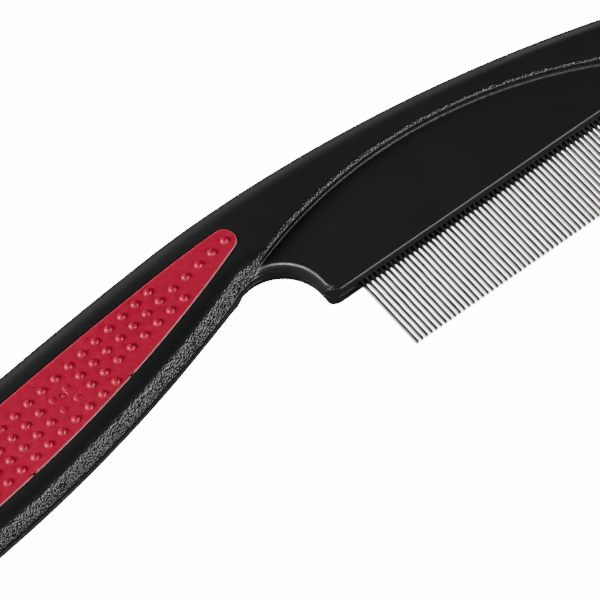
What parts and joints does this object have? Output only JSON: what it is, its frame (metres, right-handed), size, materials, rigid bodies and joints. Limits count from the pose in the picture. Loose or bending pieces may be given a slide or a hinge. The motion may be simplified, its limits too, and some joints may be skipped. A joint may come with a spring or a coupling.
{
  "type": "flea comb",
  "caption": "Knife-shaped flea comb with a row of fine steel pins along a thin head, a finger notch, and bumpy soft grips let into both sides of a dark plastic handle with a hanging hole.",
  "frame": {"origin": "under the centre of the bounding box, level with the lowest bumps of the back grip", "axes": "+X along the row of pins from the butt to the nose, +Y from the pin tips to the spine, +Z from the back grip to the front grip"},
  "size_m": [0.21, 0.0406, 0.0098],
  "materials": {
    "shell": "black moulded plastic, fine grain, satin rounded edges",
    "bar": "black moulded plastic, smooth",
    "grip": "soft red rubber, satin, with raised bumps",
    "steel": "bright drawn steel wire"
  },
  "bodies": {
    "root": {"front_shell": "shell", "back_shell": "shell", "pin_bar": "bar", "front_grip": "grip", "back_grip": "grip", "pins_01": "steel", "pins_02": "steel", "pins_03": "steel", "pins_04": "steel", "pins_05": "steel", "pins_06": "steel", "pins_07": "steel", "pins_08": "steel", "pins_09": "steel", "pins_10": "steel", "pins_11": "steel", "pins_12": "steel", "pins_13": "steel", "pins_14": "steel", "pins_15": "steel", "pins_16": "steel", "pins_17": "steel", "pins_18": "steel"}
  },
  "joints": []
}
